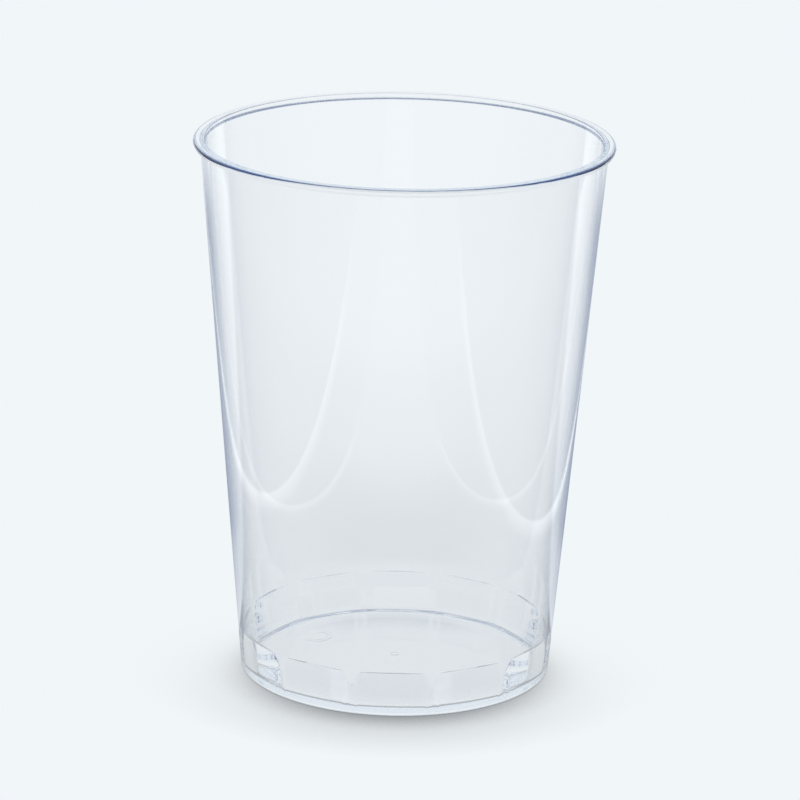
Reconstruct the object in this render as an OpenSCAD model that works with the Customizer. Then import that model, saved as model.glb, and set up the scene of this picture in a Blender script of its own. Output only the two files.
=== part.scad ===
// Clear moulded verrine cup, one piece, standing on its foot ring.
// Millimetres, +Z up, origin at the middle of the foot on the table.

/* [Cup] */
// Height from the table to the top of the rim
cup_h = 86.8; // [60:0.1:140]
// Outside diameter over the lip
rim_d = 66; // [50:0.1:100]
// Outside diameter of the wall where it meets the table
base_d = 49.4; // [36:0.1:60]
// Thickness of the wall, measured level
wall = 0.8; // [0.5:0.05:1.6]

/* [Lip] */
// How far the lip stands out from the wall
lip_out = 1.1; // [0.5:0.05:2]
// Height of the lip
lip_h = 1.1; // [0.6:0.05:2]
// Radius of the drinking edge, on the inside
lip_inner_r = 0.5; // [0.1:0.05:0.8]

/* [Foot and floor] */
// Height of the foot ring below the floor
foot_h = 0.25; // [0.15:0.05:1.5]
// Width of the flat ring that stands on the table
foot_w = 1; // [0.6:0.1:3]
// Radius of the outside edge of the foot
foot_edge_r = 0.5; // [0.1:0.05:0.9]
// Thickness of the floor
floor_t = 0.8; // [0.5:0.05:2]
// Diameter of the domed middle of the floor
dome_d = 42; // [20:0.5:44]
// How far the middle of the floor rises above its edge
dome_rise = 0.8; // [0.2:0.05:2]

/* [Stacking flats] */
// Number of flats round the inside of the wall
flat_count = 12; // [8:1:16]
// Height of the top of the flats, where the next cup rests, above the table
ledge_z = 7.2; // [5:0.1:14]
// Width of plain wall between two flats, at their top
land_w = 2.6; // [1:0.1:4]
// Angle that a flat leans in towards the floor
flat_lean = 11; // [6:0.5:14]
// Radius of the top edge of a flat
ledge_edge_r = 0.2; // [0.05:0.05:0.3]
// Radius between a flat and the floor
floor_edge_r = 0.7; // [0.3:0.05:1.2]
// Turn of the whole ring of flats
flat_turn = -1; // [-15:0.5:15]

/* [Moulding marks] */
// Diameter of the gate mark under the middle of the floor
gate_d = 1.2; // [0.6:0.1:2]
// Height of the gate mark
gate_h = 0.2; // [0.1:0.05:0.4]
// Height of the plain raised marks under the floor
mark_h = 0.1; // [0.05:0.01:0.2]
// Outside diameter of the raised ring
mark_ring_d = 5; // [3:0.1:7]
// Width of the line of the raised ring
mark_line_w = 0.5; // [0.3:0.1:1]
// Diameter of each raised dot
mark_dot_d = 1; // [0.6:0.1:1.4]
// Distance from one dot to the next
mark_dot_gap = 2; // [1.6:0.1:3]
// Distance of the raised marks from the middle of the floor
mark_out = 15.5; // [8:0.5:16]
// Direction of the raised ring, seen from above
mark_ring_turn = 146; // [0:1:360]
// Direction of the row of dots, seen from above
mark_dot_turn = 240; // [0:1:360]

/* [Hidden] */
$fn = 180;

// Room that a cut takes past the face it opens
past = 1;

rim_r = rim_d / 2;
base_r = base_d / 2;
lip_bottom_z = cup_h - lip_h;

// Slope of the wall, outside and inside alike
wall_run = (rim_r - lip_out - base_r) / lip_bottom_z;
wall_lean = atan(wall_run);
function outside_r(z) = base_r + z * wall_run;
function inside_r(z) = outside_r(z) - wall;

// Centre of the rounded outside edge of the foot
foot_edge_x = outside_r(foot_edge_r) - foot_edge_r / cos(wall_lean);
recess_r = foot_edge_x - foot_w;

// Centre of the rounded drinking edge
drink_edge_z = cup_h - lip_inner_r;
drink_edge_x = inside_r(drink_edge_z) + lip_inner_r / cos(wall_lean);

floor_z = foot_h + floor_t;
dome_r = (pow(dome_d / 2, 2) + pow(dome_rise, 2)) / (2 * dome_rise);
dome_z = floor_z + dome_rise - dome_r;
function under_z(r) = dome_z + sqrt(pow(dome_r - floor_t, 2) - r * r);

// Distance of a flat's face from the axis: at its top, then at any height
flat_half_turn = 180 / flat_count - asin(land_w / 2 / inside_r(ledge_z));
flat_top_r = inside_r(ledge_z) * cos(flat_half_turn);
function flat_r(z) = flat_top_r - (ledge_z - z) * tan(flat_lean);
flat_back_r = outside_r(ledge_z) + past;
flat_w = 2 * flat_back_r * tan(180 / flat_count);

// Centres of the rounded top edge of a flat and of the hollow at its foot, which
// dips a small share of its radius below the floor and so meets it at an angle
hollow_dip = 0.04;
ledge_edge_z = ledge_z - ledge_edge_r;
ledge_edge_x = flat_r(ledge_edge_z) + ledge_edge_r / cos(flat_lean);
floor_edge_z = floor_z + floor_edge_r * (1 - hollow_dip);
floor_edge_x = flat_r(floor_edge_z) - floor_edge_r / cos(flat_lean);

// Half section of the cup as if it were solid, foot edge and lip included
module solid_section() {
    polygon([
        [0, 0],
        [foot_edge_x, 0],
        [foot_edge_x + foot_edge_r * cos(wall_lean), foot_edge_r * (1 - sin(wall_lean))],
        [outside_r(cup_h), cup_h],
        [0, cup_h]
    ]);
    translate([foot_edge_x, foot_edge_r]) circle(r = foot_edge_r);
    translate([rim_r - lip_h / 2, cup_h - lip_h / 2]) circle(r = lip_h / 2);
    translate([inside_r(lip_bottom_z), lip_bottom_z])
        square([rim_r - lip_h / 2 - inside_r(lip_bottom_z), lip_h]);
}

// Half section of the space inside the cup, with the domed floor and the drinking edge
module inside_section() {
    difference() {
        polygon([
            [0, floor_z],
            [inside_r(floor_z), floor_z],
            [drink_edge_x - lip_inner_r * cos(wall_lean), drink_edge_z + lip_inner_r * sin(wall_lean)],
            [drink_edge_x, cup_h],
            [drink_edge_x, cup_h + past],
            [0, cup_h + past]
        ]);
        translate([0, dome_z]) circle(r = dome_r, $fn = 720);
        translate([drink_edge_x, drink_edge_z]) circle(r = lip_inner_r);
    }
}

// Half section of the hollow under the floor, which follows the dome
module recess_section() {
    translate([0, -past]) square([recess_r, foot_h + past]);
    intersection() {
        translate([0, dome_z]) circle(r = dome_r - floor_t, $fn = 720);
        square([dome_d / 2, floor_z + dome_rise]);
    }
}

// Section of one flat, seen along its length, with its rounded top edge and its foot
module flat_section() {
    polygon([
        [flat_r(floor_z), floor_z - past],
        [flat_back_r, floor_z - past],
        [flat_back_r, ledge_z],
        [ledge_edge_x, ledge_z],
        [ledge_edge_x - ledge_edge_r * cos(flat_lean), ledge_edge_z + ledge_edge_r * sin(flat_lean)],
        [flat_r(floor_z), floor_z]
    ]);
    translate([ledge_edge_x, ledge_edge_z]) circle(r = ledge_edge_r);
    difference() {
        polygon([
            [floor_edge_x, floor_z - past],
            [flat_r(floor_z), floor_z - past],
            [flat_r(floor_z), floor_z],
            [floor_edge_x + floor_edge_r * cos(flat_lean), floor_edge_z - floor_edge_r * sin(flat_lean)],
            [floor_edge_x, floor_z]
        ]);
        translate([floor_edge_x, floor_edge_z]) circle(r = floor_edge_r);
    }
}

module flats() {
    for (i = [0 : flat_count - 1])
        rotate([0, 0, flat_turn + i * 360 / flat_count])
            rotate([90, 0, 0])
                linear_extrude(height = flat_w, center = true) flat_section();
}

// Space that the cup holds: the cone inside the wall, less the flats
module inside_space() {
    difference() {
        rotate_extrude() inside_section();
        flats();
    }
}

// A raised mark stands down from the underside of the floor at its place
module under_floor(out, turn) {
    rotate([0, 0, turn])
        translate([out, 0, under_z(out) - mark_h])
            children();
}

module moulding_marks() {
    sunk = floor_t / 2;
    translate([0, 0, under_z(0) - gate_h]) cylinder(d = gate_d, h = gate_h + sunk, $fn = 48);
    under_floor(mark_out, mark_ring_turn) difference() {
        cylinder(d = mark_ring_d, h = mark_h + sunk, $fn = 72);
        translate([0, 0, -past])
            cylinder(d = mark_ring_d - 2 * mark_line_w, h = mark_h + sunk + 2 * past, $fn = 72);
    }
    for (i = [-1 : 1])
        under_floor(mark_out, mark_dot_turn)
            translate([0, i * mark_dot_gap, 0]) cylinder(d = mark_dot_d, h = mark_h + sunk, $fn = 36);
}

module cup() {
    color([0.87, 0.91, 0.95, 0.45]) {
        difference() {
            rotate_extrude() solid_section();
            inside_space();
            rotate_extrude() recess_section();
        }
        moulding_marks();
    }
}

cup();
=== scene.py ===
"""Clear moulded verrine cup on a pale studio floor, built in metres in the CAD model's own frame."""

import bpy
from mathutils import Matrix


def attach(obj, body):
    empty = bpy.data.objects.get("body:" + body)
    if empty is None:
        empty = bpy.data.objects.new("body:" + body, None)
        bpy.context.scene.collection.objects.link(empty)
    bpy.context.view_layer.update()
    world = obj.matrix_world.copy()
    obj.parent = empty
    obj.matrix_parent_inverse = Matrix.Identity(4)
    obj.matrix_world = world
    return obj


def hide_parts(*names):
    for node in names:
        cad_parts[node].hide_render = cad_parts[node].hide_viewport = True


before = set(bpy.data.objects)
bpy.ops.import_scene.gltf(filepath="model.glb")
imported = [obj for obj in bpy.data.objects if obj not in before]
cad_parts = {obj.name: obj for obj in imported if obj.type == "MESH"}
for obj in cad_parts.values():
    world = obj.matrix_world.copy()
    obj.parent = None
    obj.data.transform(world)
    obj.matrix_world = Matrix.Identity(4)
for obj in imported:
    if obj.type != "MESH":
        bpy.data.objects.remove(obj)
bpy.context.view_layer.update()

import logging
import math
from dataclasses import dataclass, field
from enum import Enum
from typing import Any

import bpy
from mathutils import Matrix, Vector

LOG = logging.getLogger("cup_scene")
MM = 0.001
Colour = tuple[float, float, float]
Vec = tuple[float, float, float]
Point = tuple[float, float]
Row = tuple[float, float, float, float]


@dataclass(frozen=True)
class Step:
    """A smooth change from one level to another between two places."""

    low: float
    high: float
    start: float = 0.0
    end: float = 1.0

    def sine(self) -> "Step":
        """The same step over the sine of an angle, for places given in degrees."""
        return Step(math.sin(math.radians(self.low)), math.sin(math.radians(self.high)), self.start, self.end)


class Nodes:
    """A node tree with short calls for adding nodes, sums and links."""

    def __init__(self, tree: bpy.types.NodeTree) -> None:
        """Keeps the tree.

        Args:
            tree: the node tree to add to.
        """
        self.tree = tree

    def add(self, kind: str, **settings: Any) -> bpy.types.Node:
        """Adds one node.

        Args:
            kind: the node's type name.
            settings: properties of the node to set.

        Returns:
            The new node.
        """
        node = self.tree.nodes.new(kind)
        for name, value in settings.items():
            setattr(node, name, value)
        return node

    def feed(self, socket: bpy.types.NodeSocket, value: Any) -> None:
        """Links a socket, or sets it.

        Args:
            socket: the input to fill.
            value: an output socket to link, or a plain value.
        """
        if isinstance(value, bpy.types.NodeSocket):
            self.tree.links.new(value, socket)
        else:
            socket.default_value = value

    def sum(self, operation: str, *values: Any, clamp: bool = False) -> bpy.types.NodeSocket:
        """Adds a Math node.

        Args:
            operation: the Math node's operation.
            values: its inputs, as sockets or numbers.
            clamp: keeps the result between 0 and 1.

        Returns:
            The node's output.
        """
        node = self.add("ShaderNodeMath", operation=operation, use_clamp=clamp)
        for socket, value in zip(node.inputs, values):
            self.feed(socket, value)
        return node.outputs[0]

    def step(self, value: Any, step: Step) -> bpy.types.NodeSocket:
        """Adds a smooth step from one level to another.

        Args:
            value: what is stepped.
            step: where the step starts and ends, and the levels there.

        Returns:
            The node's output.
        """
        node = self.add("ShaderNodeMapRange", interpolation_type="SMOOTHSTEP")
        self.feed(node.inputs["Value"], value)
        ends = {"From Min": step.low, "From Max": step.high, "To Min": step.start, "To Max": step.end}
        for name, number in ends.items():
            self.feed(node.inputs[name], number)
        return node.outputs["Result"]

    def moved(self, shape: Any, way: Vec) -> bpy.types.NodeSocket:
        """Moves a shape.

        Args:
            shape: the geometry.
            way: how far to move it along each axis.

        Returns:
            The moved geometry.
        """
        node = self.add("GeometryNodeTransform")
        self.feed(node.inputs["Geometry"], shape)
        self.feed(node.inputs["Translation"], way)
        return node.outputs[0]

    def mix(self, share: Any, first: Any, second: Any) -> bpy.types.NodeSocket:
        """Adds a colour mix.

        Args:
            share: how much of the second colour shows.
            first: the first colour.
            second: the second colour.

        Returns:
            The node's output.
        """
        node = self.add("ShaderNodeMix", data_type="RGBA", clamp_factor=True)
        colours = [s for s in node.inputs if s.type == "RGBA"]
        self.feed(node.inputs[0], share)
        for socket, value in zip(colours, (first, second)):
            self.feed(socket, (*value, 1.0) if isinstance(value, tuple) else value)
        return next(s for s in node.outputs if s.type == "RGBA")


@dataclass
class MouldingMarks:
    """Gate mark and plain raised marks under the floor, in metres."""

    gate_d: float = 1.2 * MM
    gate_h: float = 0.2 * MM
    raised: float = 0.1 * MM
    ring_d: float = 5.0 * MM
    line_w: float = 0.5 * MM
    dot_d: float = 1.0 * MM
    dot_gap: float = 2.0 * MM
    dot_count: int = 3
    out: float = 15.5 * MM
    ring_turn: float = math.radians(146)
    dot_turn: float = math.radians(240)
    sunk: float = 0.4 * MM
    gate_sides: int = 48
    ring_sides: int = 72
    dot_sides: int = 32

    def placed(self, nodes: Nodes, shape: Any, out: float, low: float, turn: float) -> bpy.types.NodeSocket:
        """Moves a mark out to its place under the floor, then turns it there.

        Args:
            nodes: the tree.
            shape: the mark's geometry, standing on its lower face at the axis.
            out: distance from the axis.
            low: height of the mark's lower face.
            turn: direction from the axis.

        Returns:
            The placed geometry.
        """
        spin = nodes.add("GeometryNodeTransform")
        nodes.feed(spin.inputs["Geometry"], nodes.moved(shape, (out, 0.0, low)))
        nodes.feed(spin.inputs["Rotation"], (0.0, 0.0, turn))
        return spin.outputs[0]

    def disc(self, nodes: Nodes, width: float, height: float, sides: int) -> bpy.types.NodeSocket:
        """Makes a flat round mark that stands on the plane through the origin.

        Args:
            nodes: the tree.
            width: its diameter.
            height: its height.
            sides: its number of sides.

        Returns:
            The disc's geometry.
        """
        disc = nodes.add("GeometryNodeMeshCylinder", fill_type="NGON")
        nodes.feed(disc.inputs["Vertices"], sides)
        nodes.feed(disc.inputs["Radius"], width / 2)
        nodes.feed(disc.inputs["Depth"], height)
        return nodes.moved(disc.outputs["Mesh"], (0.0, 0.0, height / 2))

    def ring(self, nodes: Nodes) -> bpy.types.NodeSocket:
        """Makes the plain raised ring.

        Args:
            nodes: the tree.

        Returns:
            The ring's geometry.
        """
        height = self.raised + self.sunk
        path = nodes.add("GeometryNodeCurvePrimitiveCircle")
        nodes.feed(path.inputs["Resolution"], self.ring_sides)
        nodes.feed(path.inputs["Radius"], (self.ring_d - self.line_w) / 2)
        edge = nodes.add("GeometryNodeCurvePrimitiveQuadrilateral")
        nodes.feed(edge.inputs["Width"], self.line_w)
        nodes.feed(edge.inputs["Height"], height)
        sweep = nodes.add("GeometryNodeCurveToMesh")
        nodes.feed(sweep.inputs["Curve"], path.outputs["Curve"])
        nodes.feed(sweep.inputs["Profile Curve"], edge.outputs["Curve"])
        return nodes.moved(sweep.outputs["Mesh"], (0.0, 0.0, height / 2))

    def dots(self, nodes: Nodes) -> bpy.types.NodeSocket:
        """Makes the row of raised dots.

        Args:
            nodes: the tree.

        Returns:
            The dots' geometry.
        """
        row = nodes.add("GeometryNodeMeshLine")
        nodes.feed(row.inputs["Count"], self.dot_count)
        nodes.feed(row.inputs["Start Location"], (0.0, -self.dot_gap * (self.dot_count - 1) / 2, 0.0))
        nodes.feed(row.inputs["Offset"], (0.0, self.dot_gap, 0.0))
        each = nodes.add("GeometryNodeInstanceOnPoints")
        nodes.feed(each.inputs["Points"], row.outputs["Mesh"])
        nodes.feed(each.inputs["Instance"], self.disc(nodes, self.dot_d, self.raised + self.sunk, self.dot_sides))
        real = nodes.add("GeometryNodeRealizeInstances")
        nodes.feed(real.inputs[0], each.outputs[0])
        return real.outputs[0]

    def join(self, nodes: Nodes, cup: Any, under_middle: float, under_out: float) -> bpy.types.NodeSocket:
        """Adds the marks to the cup as one closed skin.

        Args:
            nodes: the tree.
            cup: the cup's geometry.
            under_middle: height of the floor's underside at the axis.
            under_out: height of the floor's underside at the raised marks.

        Returns:
            The cup with its marks.
        """
        gate = self.disc(nodes, self.gate_d, self.gate_h + self.sunk, self.gate_sides)
        marks = [
            self.placed(nodes, gate, 0.0, under_middle - self.gate_h, 0.0),
            self.placed(nodes, self.ring(nodes), self.out, under_out - self.raised, self.ring_turn),
            self.placed(nodes, self.dots(nodes), self.out, under_out - self.raised, self.dot_turn),
        ]
        union = nodes.add("GeometryNodeMeshBoolean", operation="UNION", solver="MANIFOLD")
        for part in (cup, *marks):
            nodes.tree.links.new(part, union.inputs["Mesh"])
        return union.outputs["Mesh"]


@dataclass(frozen=True)
class ClearPolystyrene:
    """Polished clear polystyrene: a bright plastic with a faint blue cast."""

    name: str = "clear_polystyrene"
    ior: float = 1.59
    tint: Colour = (0.994, 0.996, 0.998)
    tint_low: Colour = (0.988, 0.992, 0.995)
    absorb: Colour = (0.45, 0.62, 0.85)
    absorb_per_m: float = 4.0
    polish: float = 0.0
    cloud_scale: float = 40.0
    cloud_detail: float = 2.0
    flow_scale: float = 60.0
    flow_detail: float = 1.0
    flow_stretch: float = 0.2
    flow_height: float = 0.02 * MM

    def clouds(self, nodes: Nodes, place: Any, scale: float, detail: float) -> bpy.types.NodeSocket:
        """Adds soft clouds.

        Args:
            nodes: the tree.
            place: the coordinates to read.
            scale: clouds to the metre.
            detail: how fine they are.

        Returns:
            The clouds' height.
        """
        cloud = nodes.add("ShaderNodeTexNoise")
        nodes.feed(cloud.inputs["Vector"], place)
        nodes.feed(cloud.inputs["Scale"], scale)
        nodes.feed(cloud.inputs["Detail"], detail)
        return cloud.outputs["Fac"]

    def material(self) -> bpy.types.Material:
        """Builds the material.

        Returns:
            The new material.
        """
        made = bpy.data.materials.new(self.name)
        made.use_nodes = True
        nodes = Nodes(made.node_tree)
        made.node_tree.nodes.clear()
        out = nodes.add("ShaderNodeOutputMaterial")
        skin = nodes.add("ShaderNodeBsdfPrincipled")
        place = nodes.add("ShaderNodeTexCoord").outputs["Object"]
        cloud = self.clouds(nodes, place, self.cloud_scale, self.cloud_detail)
        nodes.feed(skin.inputs["Base Color"], nodes.mix(cloud, self.tint, self.tint_low))
        nodes.feed(skin.inputs["Roughness"], self.polish)
        nodes.feed(skin.inputs["IOR"], self.ior)
        nodes.feed(skin.inputs["Transmission Weight"], 1.0)
        stretch = nodes.add("ShaderNodeMapping")
        nodes.feed(stretch.inputs["Vector"], place)
        nodes.feed(stretch.inputs["Scale"], (1.0, 1.0, self.flow_stretch))
        flow = self.clouds(nodes, stretch.outputs[0], self.flow_scale, self.flow_detail)
        bump = nodes.add("ShaderNodeBump")
        nodes.feed(bump.inputs["Height"], flow)
        nodes.feed(bump.inputs["Strength"], 1.0)
        nodes.feed(bump.inputs["Distance"], self.flow_height)
        nodes.feed(skin.inputs["Normal"], bump.outputs[0])
        soak = nodes.add("ShaderNodeVolumeAbsorption")
        nodes.feed(soak.inputs["Color"], (*self.absorb, 1.0))
        nodes.feed(soak.inputs["Density"], self.absorb_per_m)
        nodes.feed(out.inputs["Surface"], skin.outputs[0])
        nodes.feed(out.inputs["Volume"], soak.outputs[0])
        return made


@dataclass(frozen=True)
class Fineness:
    """How many steps each stretch of the cup's half section is cut into."""

    under: int = 8
    foot_inside: int = 3
    short: int = 2
    foot_edge: int = 10
    wall_outside: int = 12
    fillet: int = 5
    bead: int = 24
    drinking_edge: int = 12
    wall_inside: int = 14
    ledge_edge: int = 6
    flat_high: int = 8
    flat_low: int = 6
    hollow: int = 8
    dome: int = 10


@dataclass
class Cup:
    """The one moulded piece: wall, lip, foot, domed floor and the ring of stacking flats."""

    name: str = "clear_cup"
    height: float = 86.8 * MM
    rim_d: float = 66.0 * MM
    base_d: float = 49.4 * MM
    wall: float = 0.8 * MM
    lip_out: float = 1.1 * MM
    lip_h: float = 1.1 * MM
    lip_inner_r: float = 0.2 * MM
    lip_fillet: float = 0.12 * MM
    foot_h: float = 0.25 * MM
    foot_w: float = 1.0 * MM
    foot_edge_r: float = 0.5 * MM
    foot_soft: float = 0.05 * MM
    floor_t: float = 0.8 * MM
    dome_d: float = 42.0 * MM
    dome_rise: float = 0.8 * MM
    flat_count: int = 12
    ledge_z: float = 7.2 * MM
    land_w: float = 2.6 * MM
    flat_lean: float = math.radians(11)
    ledge_edge_r: float = 0.2 * MM
    floor_edge_r: float = 0.7 * MM
    hollow_dip: float = 0.04
    flat_turn: float = math.radians(-1)
    flat_columns: int = 32
    land_columns: int = 8
    weld: float = 0.001 * MM
    crease: float = math.radians(30)
    fine: Fineness = Fineness()
    marks: MouldingMarks = field(default_factory=MouldingMarks)
    finish: ClearPolystyrene = field(default_factory=ClearPolystyrene)

    @property
    def run(self) -> float:
        """Slope of the wall, outside and inside alike."""
        return (self.rim_d / 2 - self.lip_out - self.base_d / 2) / (self.height - self.lip_h)

    def outside(self, z: float) -> float:
        """Outside radius of the wall at a height."""
        return self.base_d / 2 + z * self.run

    def inside(self, z: float) -> float:
        """Inside radius of the wall at a height."""
        return self.outside(z) - self.wall

    @property
    def floor_z(self) -> float:
        """Height of the edge of the floor's upper face."""
        return self.foot_h + self.floor_t

    @property
    def dome_r(self) -> float:
        """Radius of the floor's dome."""
        return ((self.dome_d / 2) ** 2 + self.dome_rise ** 2) / (2 * self.dome_rise)

    def dome(self, r: float, sink: float = 0.0) -> float:
        """Height of the dome at a radius.

        Args:
            r: distance from the axis.
            sink: how far below the upper face, square to it.

        Returns:
            The height.
        """
        middle = self.floor_z + self.dome_rise - self.dome_r
        return middle + math.sqrt((self.dome_r - sink) ** 2 - r * r)

    @property
    def flat_half(self) -> float:
        """Half of the turn that a flat takes at its top."""
        return math.pi / self.flat_count - math.asin(self.land_w / 2 / self.inside(self.ledge_z))

    def flat(self, z: float) -> float:
        """Distance of a flat's face from the axis at a height."""
        top = self.inside(self.ledge_z) * math.cos(self.flat_half)
        return top - (self.ledge_z - z) * math.tan(self.flat_lean)

    @staticmethod
    def arc(x: float, z: float, r: float, start: float, end: float, steps: int) -> list[Point]:
        """Points round an arc.

        Args:
            x: the centre's distance from the axis.
            z: the centre's height.
            r: the radius.
            start: first angle, in degrees.
            end: last angle, in degrees.
            steps: number of steps between them.

        Returns:
            The points, both ends included.
        """
        turns = [math.radians(start + (end - start) * i / steps) for i in range(steps + 1)]
        return [(x + r * math.cos(t), z + r * math.sin(t)) for t in turns]

    @staticmethod
    def stretch(start: Point, end: Point, steps: int, near: float = 0.1 * MM) -> list[Point]:
        """Points along a straight stretch, with one close to each end that keeps its shading flat.

        Args:
            start: first point, which is left out.
            end: last point, which is left out.
            steps: number of steps between the two close points.
            near: distance of the close points from the ends.

        Returns:
            The points between the ends.
        """
        long = math.dist(start, end)
        shares = [near / long + (1 - 2 * near / long) * i / steps for i in range(steps + 1)]
        return [(start[0] + (end[0] - start[0]) * s, start[1] + (end[1] - start[1]) * s) for s in shares]

    @property
    def lean(self) -> float:
        """How far the wall leans out, in degrees."""
        return math.degrees(math.atan(self.run))

    @staticmethod
    def round_rows(points: list[Point], opening: float) -> list[Row]:
        """Makes rows that the flats don't reach.

        Args:
            points: radius and height of each ring of points.
            opening: the half turn that a flat's columns take there.

        Returns:
            The rows.
        """
        return [(x, 1.0, z, opening) for x, z in points]

    def flat_rows(self, points: list[Point]) -> list[Row]:
        """Makes rows that the flats cut straight, with plain wall between them.

        Args:
            points: distance of the flats from the axis and height of each ring of points.

        Returns:
            The rows.
        """
        rows = []
        for x, z in points:
            wall = self.inside(max(z, self.floor_z))
            rows.append((wall, x, z, min(math.pi / self.flat_count, math.acos(min(1.0, x / wall)))))
        return rows

    def foot_section(self) -> list[Point]:
        """Goes from the middle of the underside over the foot ring to the bottom of the wall.

        Returns:
            The points.
        """
        soft, fine = self.foot_soft, self.fine
        foot_x = self.outside(self.foot_edge_r) - self.foot_edge_r / math.cos(math.radians(self.lean))
        recess_r = foot_x - self.foot_w
        low = self.foot_h - self.floor_z - self.dome_rise + self.dome_r
        dome_end = math.sqrt((self.dome_r - self.floor_t) ** 2 - low ** 2)
        under = [dome_end * i / fine.under for i in range(fine.under + 1)]
        foot_edge = self.arc(foot_x, self.foot_edge_r, self.foot_edge_r, -90, -self.lean, fine.foot_edge)
        return [
            *[(r, self.dome(r, self.floor_t)) for r in under],
            *self.stretch((dome_end, self.foot_h), (recess_r, self.foot_h), fine.short),
            *[(recess_r, self.foot_h), (recess_r, soft * 2), (recess_r, soft)],
            *self.arc(recess_r + soft, soft, soft, 180, 270, fine.foot_inside)[1:],
            *self.stretch((recess_r + soft, 0.0), foot_edge[0], fine.short),
            *foot_edge,
        ]

    def lip_section(self, start: Point) -> list[Point]:
        """Goes up the outside of the wall and over the lip to the inside of the drinking edge.

        Args:
            start: the last point of the foot.

        Returns:
            The points.
        """
        fine, fillet, bottom_z = self.fine, self.lip_fillet, self.height - self.lip_h
        sin_lean, cos_lean = math.sin(math.radians(self.lean)), math.cos(math.radians(self.lean))
        corner = math.tan(math.radians((90 - self.lean) / 2)) * fillet
        down = (self.outside(bottom_z) - corner * sin_lean, bottom_z - corner * cos_lean)
        centre = (down[0] + fillet * cos_lean, down[1] - fillet * sin_lean)
        bead_r = self.lip_h / 2
        bead = self.arc(self.rim_d / 2 - bead_r, self.height - bead_r, bead_r, -90, 90, fine.bead)
        edge_z = self.height - self.lip_inner_r
        edge_x = self.inside(edge_z) + self.lip_inner_r / cos_lean
        edge = self.arc(edge_x, edge_z, self.lip_inner_r, 90, 180 - self.lean, fine.drinking_edge)
        return [
            *self.stretch(start, down, fine.wall_outside),
            down,
            *self.arc(*centre, fillet, 180 - self.lean, 90, fine.fillet)[1:],
            *self.stretch((centre[0], bottom_z), bead[0], 1, 0.04 * MM),
            *bead,
            *self.stretch(bead[-1], edge[0], fine.short),
            *edge,
        ]

    def flat_section(self, ledge_x: float) -> list[Point]:
        """Goes from the top of the flats down to the hollow at their foot.

        Args:
            ledge_x: distance of the flats' top edge from the axis.

        Returns:
            The points.
        """
        fine, half, lean = self.fine, math.pi / self.flat_count, math.degrees(self.flat_lean)
        ledge_z = self.ledge_z - self.ledge_edge_r
        top_edge = self.arc(ledge_x, ledge_z, self.ledge_edge_r, 90, 180 - lean, fine.ledge_edge)[1:]
        hollow_z = self.floor_z + self.floor_edge_r * (1 - self.hollow_dip)
        hollow_x = self.flat(hollow_z) - self.floor_edge_r / math.cos(self.flat_lean)
        last = -math.degrees(math.asin(1 - self.hollow_dip))
        hollow = self.arc(hollow_x, hollow_z, self.floor_edge_r, -lean, last, fine.hollow)
        wall_x = math.cos(half) * (self.base_d / 2 - self.wall)
        meet_z = (wall_x - self.flat(0.0)) / (math.tan(self.flat_lean) - math.cos(half) * self.run)
        meet = (self.flat(meet_z), meet_z)
        return [
            (ledge_x, self.ledge_z),
            *top_edge,
            *self.stretch(top_edge[-1], meet, fine.flat_high, 0.06 * MM)[:-1],
            meet,
            *self.stretch(meet, hollow[0], fine.flat_low),
            *hollow,
        ]

    def section(self) -> list[Row]:
        """Half section of the cup, once round its skin from the middle of the underside to the middle of the floor.

        Returns:
            A row for each ring of points: radius of the round wall, distance of the flats, height, and the half turn
            that a flat's columns take.
        """
        half = math.pi / self.flat_count
        foot = self.foot_section()
        lip = self.lip_section(foot[-1])
        ledge_z = self.ledge_z - self.ledge_edge_r
        ledge_x = self.flat(ledge_z) + self.ledge_edge_r / math.cos(self.flat_lean)
        ledge = (self.inside(self.ledge_z), self.ledge_z)
        opening = math.acos(ledge_x / ledge[0])
        flats = self.flat_section(ledge_x)
        middle_r = self.dome_d / 2
        dome = [middle_r * (1 - i / self.fine.dome) for i in range(self.fine.dome + 1)]
        return [
            *self.round_rows(foot, half),
            *self.round_rows(lip, self.flat_half),
            *self.round_rows([*self.stretch(lip[-1], ledge, self.fine.wall_inside), ledge], opening),
            *self.flat_rows(flats),
            *self.round_rows([((flats[-1][0] + middle_r) / 2, self.floor_z)], half),
            *self.round_rows([(r, self.dome(r)) for r in dome], half),
        ]

    @staticmethod
    def looked_up(nodes: Nodes, section: Any, data: str, value: Any, row: Any) -> bpy.types.NodeSocket:
        """Reads a value from one point of the half section.

        Args:
            nodes: the tree.
            section: the half section's geometry.
            data: the value's type.
            value: what to read.
            row: the point's number.

        Returns:
            The value there.
        """
        pick = nodes.add("GeometryNodeSampleIndex", data_type=data)
        nodes.feed(pick.inputs["Geometry"], section)
        nodes.feed(pick.inputs["Value"], value)
        nodes.feed(pick.inputs["Index"], row)
        return pick.outputs[0]

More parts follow.
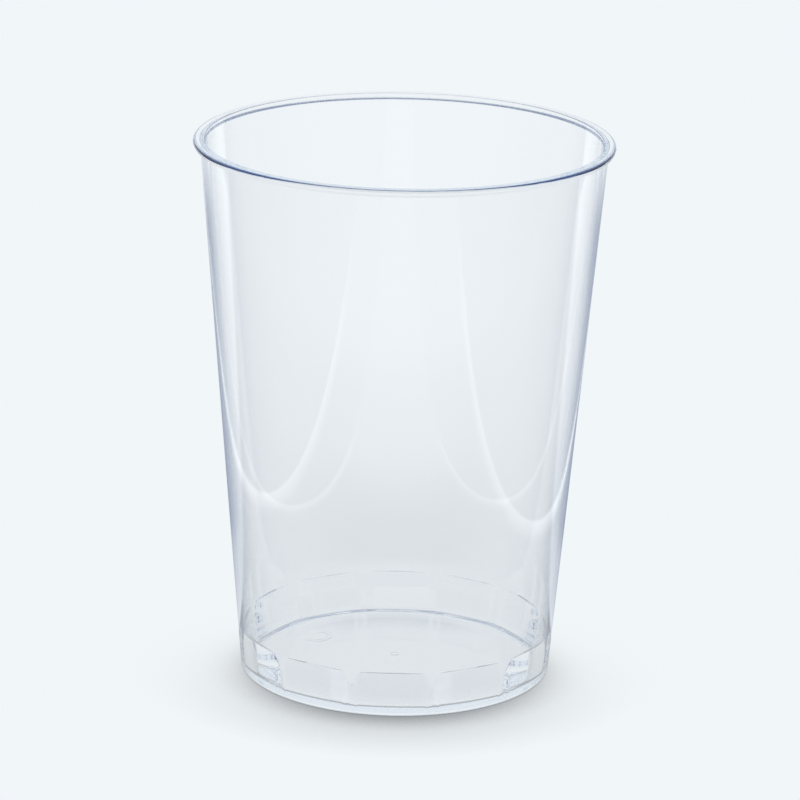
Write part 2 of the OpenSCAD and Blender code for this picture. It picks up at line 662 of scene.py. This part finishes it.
    @staticmethod
    def column_place(
        nodes: Nodes, given: Any, column: Any, per_flat: Any, opening: Any, wall: Any, flat: Any
    ) -> tuple[Any, Any]:
        """Works out where a column's point lies round the axis, on a flat or on the plain wall beside it.

        Args:
            nodes: the tree.
            given: the tree's inputs.
            column: the column's number.
            per_flat: the number of columns from one flat to the next.
            opening: the half turn that a flat's columns take.
            wall: radius of the round wall.
            flat: distance of the flats from the axis.

        Returns:
            The distance from the axis and the angle.
        """
        step = nodes.sum("DIVIDE", math.tau, given["Flats"])
        which = nodes.sum("FLOOR", nodes.sum("DIVIDE", column, per_flat))
        local = nodes.sum("SUBTRACT", column, nodes.sum("MULTIPLY", which, per_flat))
        along = nodes.sum("DIVIDE", local, given["Columns on a flat"], clamp=True)
        past = nodes.sum("SUBTRACT", local, given["Columns on a flat"])
        beyond = nodes.sum("DIVIDE", past, given["Columns between flats"], clamp=True)
        wide = nodes.sum("MULTIPLY", opening, 2.0)
        turn = nodes.sum("SUBTRACT", nodes.sum("MULTIPLY", wide, along), opening)
        turn = nodes.sum("MULTIPLY_ADD", nodes.sum("SUBTRACT", step, wide), beyond, turn)
        near = nodes.sum("MINIMUM", nodes.sum("ABSOLUTE", turn), nodes.sum("SUBTRACT", step, turn))
        out = nodes.sum("MINIMUM", wall, nodes.sum("DIVIDE", flat, nodes.sum("COSINE", near)))
        return out, nodes.sum("MULTIPLY_ADD", which, step, nodes.sum("ADD", turn, given["Turn of the flats"]))

    def tree(self) -> bpy.types.NodeTree:
        """Builds the nodes that carry the section round the axis and cut the flats.

        Returns:
            The new tree.
        """
        made = bpy.data.node_groups.new("cup_round_the_axis", "GeometryNodeTree")
        for label, kind in (
            ("Section", "NodeSocketGeometry"),
            ("Flats", "NodeSocketInt"),
            ("Columns on a flat", "NodeSocketInt"),
            ("Columns between flats", "NodeSocketInt"),
            ("Turn of the flats", "NodeSocketFloat"),
            ("Finish", "NodeSocketMaterial"),
        ):
            made.interface.new_socket(label, in_out="INPUT", socket_type=kind)
        made.interface.new_socket("Cup", in_out="OUTPUT", socket_type="NodeSocketGeometry")
        nodes = Nodes(made)
        given = nodes.add("NodeGroupInput").outputs
        size = nodes.add("GeometryNodeAttributeDomainSize", component="MESH")
        nodes.feed(size.inputs[0], given["Section"])
        rows = size.outputs["Point Count"]
        per_flat = nodes.sum("ADD", given["Columns on a flat"], given["Columns between flats"])
        grid = nodes.add("GeometryNodeMeshGrid")
        nodes.feed(grid.inputs["Vertices X"], nodes.sum("MULTIPLY_ADD", given["Flats"], per_flat, 1.0))
        nodes.feed(grid.inputs["Vertices Y"], rows)
        number = nodes.add("GeometryNodeInputIndex").outputs[0]
        column = nodes.sum("FLOOR", nodes.sum("DIVIDE", number, rows))
        row = nodes.sum("SUBTRACT", number, nodes.sum("MULTIPLY", column, rows))
        split = nodes.add("ShaderNodeSeparateXYZ")
        place = nodes.add("GeometryNodeInputPosition").outputs[0]
        nodes.feed(split.inputs[0], self.looked_up(nodes, given["Section"], "FLOAT_VECTOR", place, row))
        wall, flat, z = split.outputs
        stored = nodes.add("GeometryNodeInputNamedAttribute", data_type="FLOAT")
        nodes.feed(stored.inputs["Name"], "opening")
        opening = self.looked_up(nodes, given["Section"], "FLOAT", stored.outputs[0], row)
        out, angle = self.column_place(nodes, given, column, per_flat, opening, wall, flat)
        place = nodes.add("ShaderNodeCombineXYZ")
        nodes.feed(place.inputs[0], nodes.sum("MULTIPLY", out, nodes.sum("COSINE", angle)))
        nodes.feed(place.inputs[1], nodes.sum("MULTIPLY", out, nodes.sum("SINE", angle)))
        nodes.feed(place.inputs[2], z)
        bend = nodes.add("GeometryNodeSetPosition")
        nodes.feed(bend.inputs["Geometry"], grid.outputs["Mesh"])
        nodes.feed(bend.inputs["Position"], place.outputs[0])
        weld = nodes.add("GeometryNodeMergeByDistance")
        nodes.feed(weld.inputs["Geometry"], bend.outputs[0])
        nodes.feed(weld.inputs["Distance"], self.weld)
        under_middle, under_out = self.dome(0.0, self.floor_t), self.dome(self.marks.out, self.floor_t)
        whole = self.marks.join(nodes, weld.outputs[0], under_middle, under_out)
        soft = nodes.add("GeometryNodeSetShadeSmooth")
        nodes.feed(soft.inputs["Geometry"], whole)
        real = nodes.add("GeometryNodeRealizeInstances")
        nodes.feed(real.inputs[0], soft.outputs[0])
        dress = nodes.add("GeometryNodeSetMaterial")
        nodes.feed(dress.inputs["Geometry"], real.outputs[0])
        nodes.feed(dress.inputs["Material"], given["Finish"])
        nodes.feed(nodes.add("NodeGroupOutput").inputs[0], dress.outputs[0])
        return made

    def build(self) -> bpy.types.Object:
        """Makes the cup's mesh.

        Returns:
            The finished piece.
        """
        rows = self.section()
        line = bpy.data.meshes.new("cup_section")
        line.from_pydata([(wall, flat, z) for wall, flat, z, _ in rows], [(i, i + 1) for i in range(len(rows) - 1)], [])
        line.attributes.new("opening", "FLOAT", "POINT").data.foreach_set("value", [row[3] for row in rows])
        piece = bpy.data.objects.new(self.name, line)
        bpy.context.scene.collection.objects.link(piece)
        tree = self.tree()
        maker = piece.modifiers.new("round_the_axis", "NODES")
        maker.node_group = tree
        given = {
            "Flats": self.flat_count,
            "Columns on a flat": self.flat_columns,
            "Columns between flats": self.land_columns,
            "Turn of the flats": self.flat_turn,
            "Finish": self.finish.material(),
        }
        for item in tree.interface.items_tree:
            if item.in_out == "INPUT" and item.name in given:
                maker[item.identifier] = given[item.name]
        solid = bpy.data.meshes.new_from_object(piece.evaluated_get(bpy.context.evaluated_depsgraph_get()))
        piece.modifiers.clear()
        solid.name = self.name
        piece.data = solid
        bpy.data.meshes.remove(line)
        return piece

    def dress(self, piece: bpy.types.Object) -> None:
        """Shades the piece and ties it to the frame.

        Args:
            piece: the cup.
        """
        piece.data.set_sharp_from_angle(angle=self.crease)
        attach(piece, "root")
        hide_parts("cup")


class Seen(Enum):
    """How the camera comes to see a part of the studio."""

    DIRECT = "with nothing in the way"
    MIRRORED = "mirrored by the plastic"


@dataclass(frozen=True)
class Strip:
    """A bright strip on the floor along the cup's side, which only reflections show, in metres."""

    edge: float
    turn: float = 0.0
    width: float = 0.010
    glow: float = 0.70


@dataclass(frozen=True)
class Shade:
    """One layer of the soft shadow round the foot: how far it reaches, which way it looks, and how dark it is."""

    reach: float
    lean: Vec
    depth: float
    power: float


@dataclass
class Studio:
    """Pale floor in a pale room: even and bright straight behind the cup, dimmer and bluer in what the cup reflects."""

    backdrop: Colour = (0.8796, 0.9216, 0.9473)
    cold: Colour = (-0.06, 0.0, 0.18)
    floor_size: float = 8.0
    # Levels against the backdrop, by direction round the cup in degrees from straight behind
    floor_ring: tuple[Point, ...] = (
        (0, 0.95), (5, 0.75), (12, 0.50), (26, 0.55), (40, 0.75), (58, 1.00), (63.5, 1.08), (64.5, 0.45), (80, 0.58),
        (100, 0.62), (125, 0.69), (150, 0.74), (180, 0.76),
    )
    room_ring: tuple[Point, ...] = (
        (0, 0.97), (20, 0.90), (30, 0.80), (60, 0.82), (90, 0.83), (120, 0.76), (150, 0.69), (180, 0.63),
    )
    # The room close to the floor and high up, by height in degrees
    low_room: Step = Step(6.0, 12.0, 0.6, 1.0)
    high_room: Step = Step(24.0, 38.0, 1.0, 0.35)
    # The mirrored floor close to the cup, dimmed as painted shade, by distance and by direction
    near_dim: Step = Step(0.050, 0.185, 1.0, 0.0)
    near_turn: Step = Step(70.0, 140.0, 0.28, 1.0)
    # The mirrored floor far from the cup, and what the far wall mirrors
    far_gain: Step = Step(0.24, 0.40, 1.0, 1.35)
    far_side: Step = Step(0.25, 0.33)
    far_passes: float = 2.5
    far_turn: float = 20.0
    # Painted shade under the cup: the mirrored floor there is held at one level, about half the backdrop's
    under_cup: Step = Step(0.0235, 0.0265, 1.0, 0.0)
    under_level: float = 0.55
    # The strips at the sides, from the front to the back, and the paler band between them: painted reflections that
    # only mirrored rays see
    strips: tuple[Strip, ...] = (Strip(-0.095), Strip(0.088, 0.12))
    strip_fade: Step = Step(-0.20, -0.09)
    strip_end: Step = Step(0.0, 0.001, 1.0, 0.0)
    strip_pivot: float = 0.02
    painted_band_lift: Step = Step(-0.15, -0.08, 0.14, 0.0)
    cold_turn: Step = Step(50.0, 80.0, 1.0, 0.10)
    # Light that the plastic passes on from face to face, by how often it was mirrored
    piped: Step = Step(2.0, 4.0)
    piped_near: Step = Step(45.0, 140.0, 1.0, 0.10)
    piped_away: Step = Step(7.5, 9.5, 0.15, 1.0)
    away: Step = Step(0.06, 0.08)
    shades: tuple[Shade, ...] = (Shade(0.018, (0.0, 0.94, 0.34), 0.62, 1.5), Shade(0.007, (0.0, 0.77, 0.64), 0.85, 2.0))
    shade_rays: int = 6
    bounces: int = 300

    def seen(self, nodes: Nodes, way: Seen) -> bpy.types.NodeSocket:
        """Tells the rays that reach a part of the studio in one way from the others.

        Args:
            nodes: the tree.
            way: how the camera sees it.

        Returns:
            1 for such a ray, else 0.
        """
        path = nodes.add("ShaderNodeLightPath").outputs
        if way is Seen.DIRECT:
            return path["Is Camera Ray"]
        return nodes.sum("GREATER_THAN", path["Glossy Depth"], 0.5)

    def times(self, nodes: Nodes, step: Step) -> bpy.types.NodeSocket:
        """Steps from one level to another with the number of times that the plastic has mirrored a ray."""
        return nodes.step(nodes.add("ShaderNodeLightPath").outputs["Glossy Depth"], step)

    def passed_on(self, nodes: Nodes, plain: Any, level: Any) -> bpy.types.NodeSocket:
        """Changes what a ray sees that the plastic has passed on from face to face before it came out.

        Args:
            nodes: the tree.
            plain: the colour for a ray that was mirrored once or twice.
            level: brightness against the backdrop for a ray that was passed on more often.

        Returns:
            The colour.
        """
        return nodes.mix(self.times(nodes, self.piped), plain, self.tinted(nodes, level, 1.0))

    def ring(self, nodes: Nodes, x: Any, y: Any, stops: tuple[Point, ...], shift: Any = 0.0) -> tuple[Any, Any]:
        """Looks up how bright the room is in a direction round the cup.

        Args:
            nodes: the tree.
            x: distance to the right.
            y: distance to the back.
            stops: pairs of a direction in degrees, from straight behind, and the level there.
            shift: degrees to add to the direction before it is looked up.

        Returns:
            The level and the direction in degrees.
        """
        turn = nodes.sum("MULTIPLY", nodes.sum("ABSOLUTE", nodes.sum("ARCTAN2", x, y)), 180 / math.pi)
        ramp = nodes.add("ShaderNodeValToRGB")
        while len(ramp.color_ramp.elements) < len(stops):
            ramp.color_ramp.elements.new(0.5)
        for element, (angle, level) in zip(ramp.color_ramp.elements, stops):
            element.position = angle / 180
            element.color = (level, level, level, 1.0)
        nodes.feed(ramp.inputs[0], nodes.sum("DIVIDE", nodes.sum("ADD", turn, shift), 180.0))
        return ramp.outputs[0], turn

    def tinted(self, nodes: Nodes, level: Any, share: Any) -> bpy.types.NodeSocket:
        """Turns a level into the backdrop's colour, colder where it is dark.

        Args:
            nodes: the tree.
            level: brightness against the backdrop.
            share: how much of the cold cast shows.

        Returns:
            The colour.
        """
        dark = nodes.sum("MULTIPLY", nodes.sum("MAXIMUM", nodes.sum("SUBTRACT", 1.0, level), 0.0), share)
        made = nodes.add("ShaderNodeCombineColor")
        for socket, base, cast in zip(made.inputs, self.backdrop, self.cold):
            whole = nodes.sum("MAXIMUM", nodes.sum("MULTIPLY_ADD", dark, cast, level), 0.0)
            nodes.feed(socket, nodes.sum("MULTIPLY", whole, base))
        return made.outputs[0]

    def reflected_floor(self, nodes: Nodes, x: Any, y: Any, out: Any) -> bpy.types.NodeSocket:
        """Makes the floor as the cup mirrors it.

        Args:
            nodes: the tree.
            x: distance to the right.
            y: distance to the back.
            out: distance from the cup's axis.

        Returns:
            The colour.
        """
        passes = nodes.add("ShaderNodeLightPath").outputs["Transmission Depth"]
        far_wall = nodes.sum("GREATER_THAN", passes, self.far_passes)
        beyond = nodes.sum("MAXIMUM", far_wall, nodes.step(out, self.far_side))
        level, turn = self.ring(nodes, x, y, self.floor_ring, nodes.sum("MULTIPLY", beyond, self.far_turn))
        level = nodes.sum("MULTIPLY", level, nodes.step(out, self.far_gain))
        dim = nodes.sum("MULTIPLY", nodes.step(turn, self.near_turn), nodes.step(out, self.near_dim))
        level = nodes.sum("MULTIPLY", level, nodes.sum("SUBTRACT", 1.0, dim))
        level = self.striped(nodes, level, x, y)
        under = nodes.step(out, self.under_cup)
        level = nodes.sum("MULTIPLY", level, nodes.sum("SUBTRACT", 1.0, under))
        level = nodes.sum("MULTIPLY_ADD", under, self.under_level, level)
        return self.tinted(nodes, level, nodes.step(turn, self.cold_turn))

    def striped(self, nodes: Nodes, level: Any, x: Any, y: Any) -> bpy.types.NodeSocket:
        """Adds the bright strips at the cup's sides and the paler band between them, painted into the floor as the cup
        mirrors it.

        Args:
            nodes: the tree.
            level: the floor's level without them.
            x: distance to the right.
            y: distance to the back.

        Returns:
            The level with them.
        """
        fade = nodes.step(y, self.strip_fade)
        between = None
        for strip in self.strips:
            side = math.copysign(1.0, strip.edge)
            swing = nodes.sum("MULTIPLY", nodes.sum("ADD", y, self.strip_pivot), strip.turn)
            across = nodes.sum("MULTIPLY", nodes.sum("ADD", swing, nodes.sum("SUBTRACT", x, strip.edge)), side)
            within = nodes.step(across, self.strip_end)
            rise = nodes.sum("MULTIPLY", nodes.step(across, Step(-strip.width, 0.0, 0.0, strip.glow)), fade)
            level = nodes.sum("MULTIPLY_ADD", rise, within, level)
            between = within if between is None else nodes.sum("MULTIPLY", between, within)
        # Painted reflection: a paler band on the floor between the strips, seen only in what the cup mirrors
        return nodes.sum("MULTIPLY_ADD", nodes.step(y, self.painted_band_lift), between, level)

    def shade(self, nodes: Nodes) -> bpy.types.NodeSocket:
        """Works out the soft shadow round the foot from how much of the light above each spot the cup covers.

        Args:
            nodes: the tree.

        Returns:
            The share of light that is left.
        """
        left = None
        for layer in self.shades:
            cover = nodes.add("ShaderNodeAmbientOcclusion", samples=self.shade_rays)
            nodes.feed(cover.inputs["Distance"], layer.reach)
            way = nodes.add("ShaderNodeCombineXYZ")
            for socket, number in zip(way.inputs, layer.lean):
                nodes.feed(socket, number)
            nodes.feed(cover.inputs["Normal"], way.outputs[0])
            covered = nodes.sum("SUBTRACT", 1.0, cover.outputs["AO"], clamp=True)
            lost = nodes.sum("MULTIPLY", nodes.sum("POWER", covered, layer.power), layer.depth)
            kept = nodes.sum("SUBTRACT", 1.0, lost, clamp=True)
            left = kept if left is None else nodes.sum("MULTIPLY", left, kept)
        return left

    def floor(self) -> bpy.types.Object:
        """Lays the floor.

        Returns:
            The floor.
        """
        half = self.floor_size / 2
        plane = bpy.data.meshes.new("studio_floor")
        plane.from_pydata([(-half, -half, 0), (half, -half, 0), (half, half, 0), (-half, half, 0)], [], [(0, 1, 2, 3)])
        made = bpy.data.materials.new("pale_floor")
        made.use_nodes = True
        nodes = Nodes(made.node_tree)
        made.node_tree.nodes.clear()
        out = nodes.add("ShaderNodeOutputMaterial")
        glow = nodes.add("ShaderNodeEmission")
        split = nodes.add("ShaderNodeSeparateXYZ")
        nodes.feed(split.inputs[0], nodes.add("ShaderNodeNewGeometry").outputs["Position"])
        x, y, _ = split.outputs
        away = nodes.sum("SQRT", nodes.sum("ADD", nodes.sum("MULTIPLY", x, x), nodes.sum("MULTIPLY", y, y)))
        beyond = nodes.step(away, self.away)
        near = nodes.sum("MULTIPLY", self.times(nodes, self.piped_near), nodes.sum("SUBTRACT", 1.0, beyond))
        level = nodes.sum("MULTIPLY_ADD", self.times(nodes, self.piped_away), beyond, near)
        reflected = self.passed_on(nodes, self.reflected_floor(nodes, x, y, away), level)
        nodes.feed(glow.inputs["Color"], nodes.mix(self.seen(nodes, Seen.MIRRORED), self.backdrop, reflected))
        # Painted shadow: for camera rays the floor's own glow is dimmed round the foot by the shade layers
        direct = self.seen(nodes, Seen.DIRECT)
        shadow = nodes.sum("SUBTRACT", 1.0, self.shade(nodes))
        nodes.feed(glow.inputs["Strength"], nodes.sum("SUBTRACT", 1.0, nodes.sum("MULTIPLY", direct, shadow)))
        nodes.feed(out.inputs["Surface"], glow.outputs[0])
        plane.materials.append(made)
        piece = bpy.data.objects.new("studio_floor", plane)
        bpy.context.scene.collection.objects.link(piece)
        return piece

    def world(self) -> None:
        """Sets the room round the stage."""
        made = bpy.data.worlds.new("studio_room")
        made.use_nodes = True
        nodes = Nodes(made.node_tree)
        made.node_tree.nodes.clear()
        out = nodes.add("ShaderNodeOutputWorld")
        glow = nodes.add("ShaderNodeBackground")
        split = nodes.add("ShaderNodeSeparateXYZ")
        nodes.feed(split.inputs[0], nodes.add("ShaderNodeTexCoord").outputs["Generated"])
        x, y, z = split.outputs
        level, _ = self.ring(nodes, x, y, self.room_ring)
        level = nodes.sum("MULTIPLY", level, nodes.step(z, self.low_room.sine()))
        level = nodes.sum("MULTIPLY", level, nodes.step(z, self.high_room.sine()))
        reflected = self.passed_on(nodes, self.tinted(nodes, level, 1.0), self.times(nodes, self.piped_near))
        nodes.feed(glow.inputs["Color"], nodes.mix(self.seen(nodes, Seen.MIRRORED), self.backdrop, reflected))
        nodes.feed(out.inputs["Surface"], glow.outputs[0])
        bpy.context.scene.world = made

    def build(self) -> None:
        """Builds the whole studio."""
        self.floor()
        self.world()
        for name in ("max_bounces", "glossy_bounces", "transmission_bounces"):
            setattr(bpy.context.scene.cycles, name, self.bounces)


@dataclass
class StudioCamera:
    """The camera at the photographed viewing angle, in metres and degrees."""

    place: Vec = (0.0000592, -0.6974408, 0.2569184)
    pitch: float = 16.960275
    roll: float = 1.12853
    lens: float = 206.841
    sensor: float = 36.0
    clip: Point = (0.01, 20.0)

    def build(self) -> bpy.types.Object:
        """Places the camera.

        Returns:
            The camera.
        """
        lens = bpy.data.cameras.new("studio_camera")
        lens.lens = self.lens
        lens.sensor_width = self.sensor
        lens.sensor_fit = "HORIZONTAL"
        lens.clip_start, lens.clip_end = self.clip
        camera = bpy.data.objects.new("studio_camera", lens)
        bpy.context.scene.collection.objects.link(camera)
        s, c = math.sin(math.radians(self.pitch)), math.cos(math.radians(self.pitch))
        sr, cr = math.sin(math.radians(self.roll)), math.cos(math.radians(self.roll))
        right, up, back = Vector((cr, sr * s, sr * c)), Vector((-sr, cr * s, cr * c)), Vector((0.0, -c, s))
        turn = Matrix((right, up, back)).transposed().to_4x4()
        camera.matrix_world = Matrix.Translation(self.place) @ turn
        bpy.context.scene.camera = camera
        return camera


def main() -> None:
    """Builds the camera, the studio and the cup."""
    logging.basicConfig(level=logging.INFO, format="%(name)s: %(message)s")
    bpy.context.scene.view_settings.view_transform = "Standard"
    StudioCamera().build()
    Studio().build()
    cup = Cup()
    piece = cup.build()
    cup.dress(piece)
    LOG.info("%s: %d faces, height %.1f mm", piece.name, len(piece.data.polygons), piece.dimensions.z / MM)


if __name__ == "__main__":
    main()
